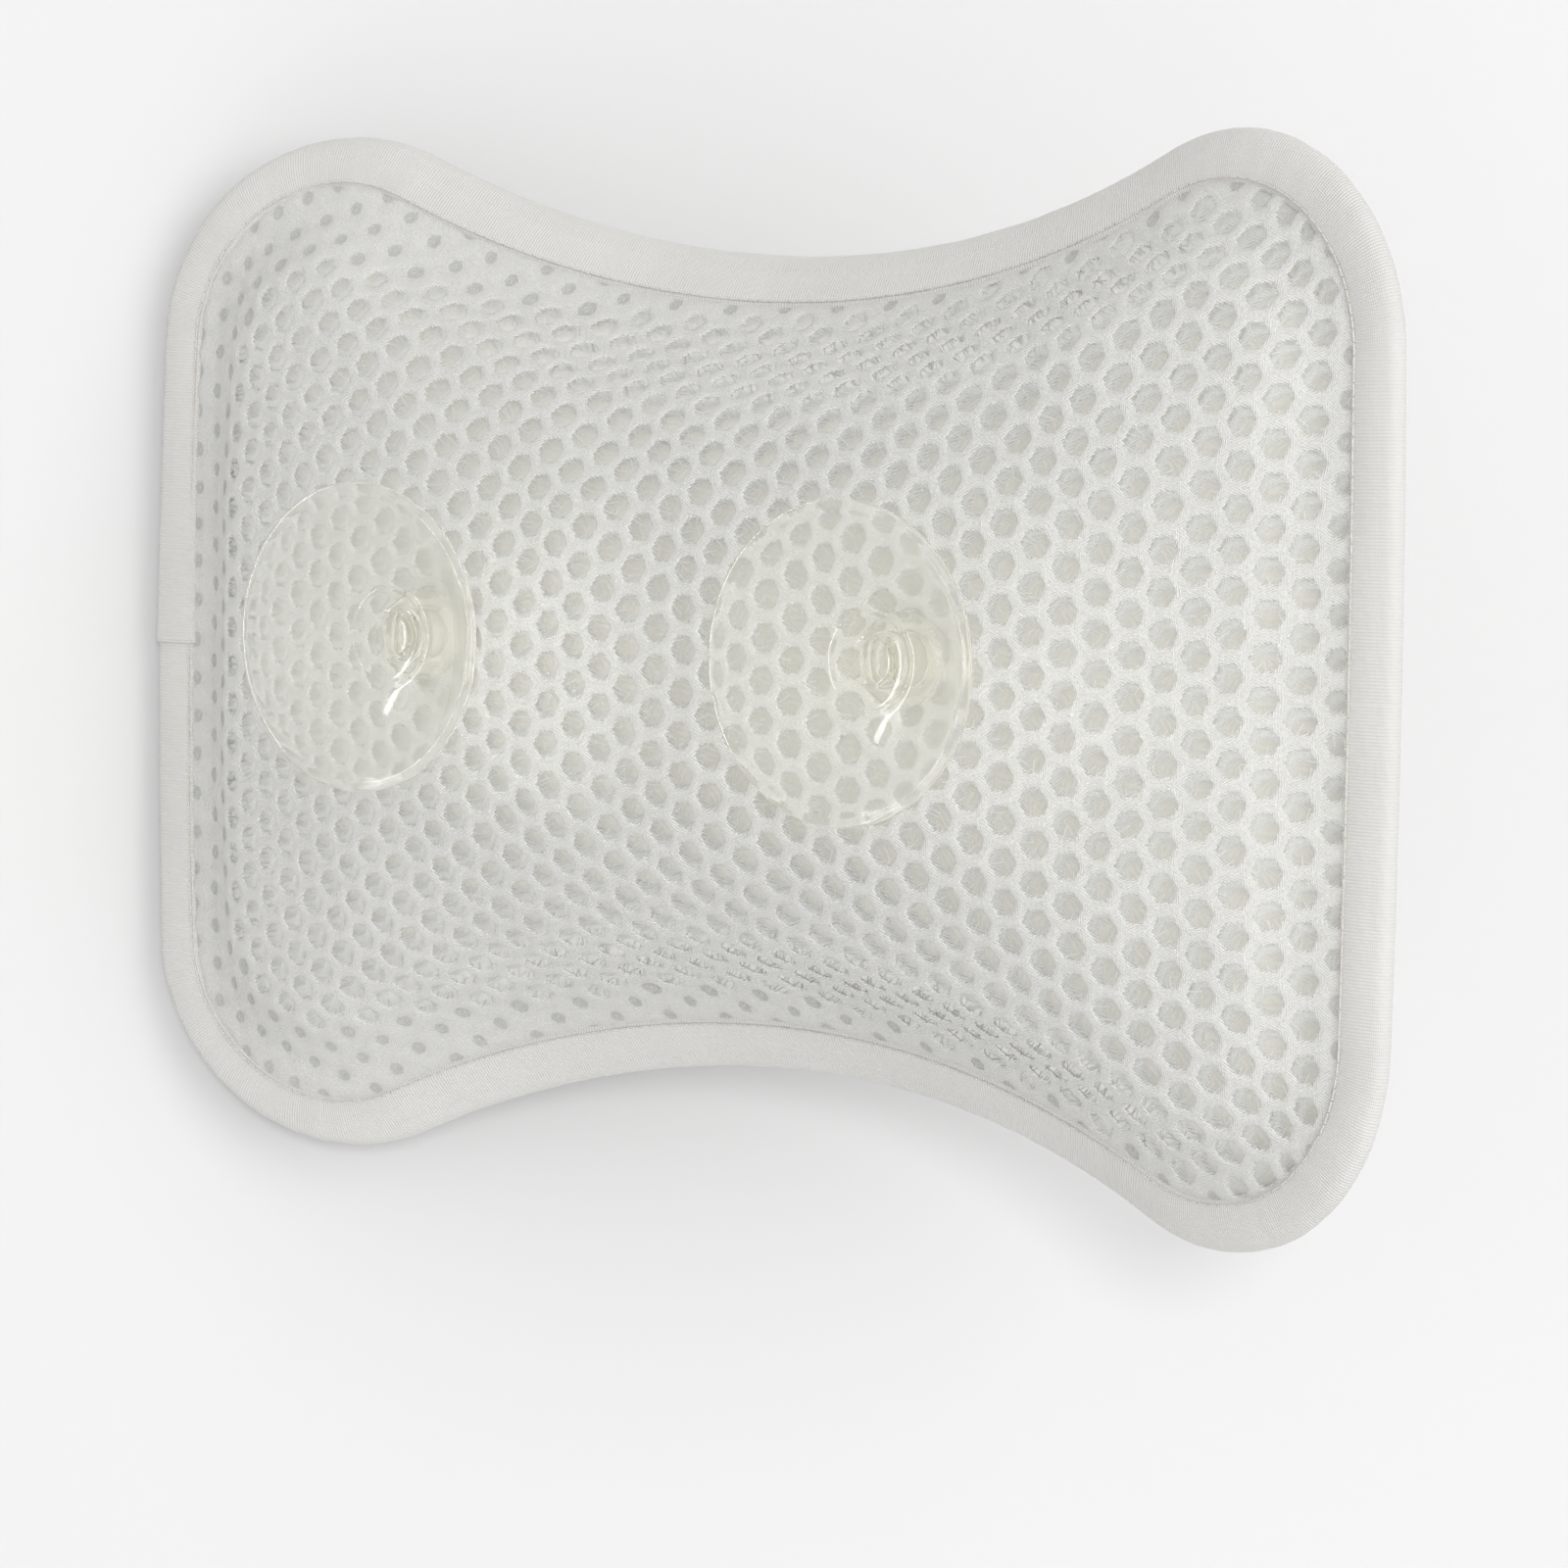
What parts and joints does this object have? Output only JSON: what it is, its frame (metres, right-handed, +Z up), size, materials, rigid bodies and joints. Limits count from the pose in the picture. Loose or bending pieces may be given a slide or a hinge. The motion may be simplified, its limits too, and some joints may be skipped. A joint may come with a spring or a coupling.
{
  "type": "bath pillow",
  "caption": "Bone-shaped bath pillow of white air mesh with a bound edge, held to the bath wall by clear suction cups on its back.",
  "frame": {"origin": "middle of the plane of the two cup rims, half way between the cup axes, where the bath wall is", "axes": "+X along the pillow, +Y from the bath wall towards the bather, +Z up"},
  "size_m": [0.3, 0.1016, 0.2052],
  "materials": {
    "air_mesh": "knitted polyester air mesh, off white, slight sheen",
    "filling": "loose white polyester fibre",
    "binding_tape": "fine ribbed tape, off white",
    "thread": "twisted polyester sewing thread",
    "clear_vinyl": "clear soft vinyl, glossy, faintly yellow where thick"
  },
  "bodies": {
    "pillow": {"back_mesh_panel": "air_mesh", "front_mesh_panel": "air_mesh", "fibre_filling": "filling", "edge_binding": "binding_tape", "needle_thread": "thread", "bobbin_thread": "thread"},
    "left_cup": {"suction_cup_left": "clear_vinyl"},
    "right_cup": {"suction_cup_right": "clear_vinyl"}
  },
  "joints": [
    {"name": "left_cup_spin", "type": "hinge", "parent": "pillow", "child": "left_cup", "pos_m": [-0.058, 0.024, 0], "axis": [0, 1, 0], "continuous": true},
    {"name": "right_cup_spin", "type": "hinge", "parent": "pillow", "child": "right_cup", "pos_m": [0.058, 0.024, 0], "axis": [0, 1, 0], "continuous": true}
  ]
}
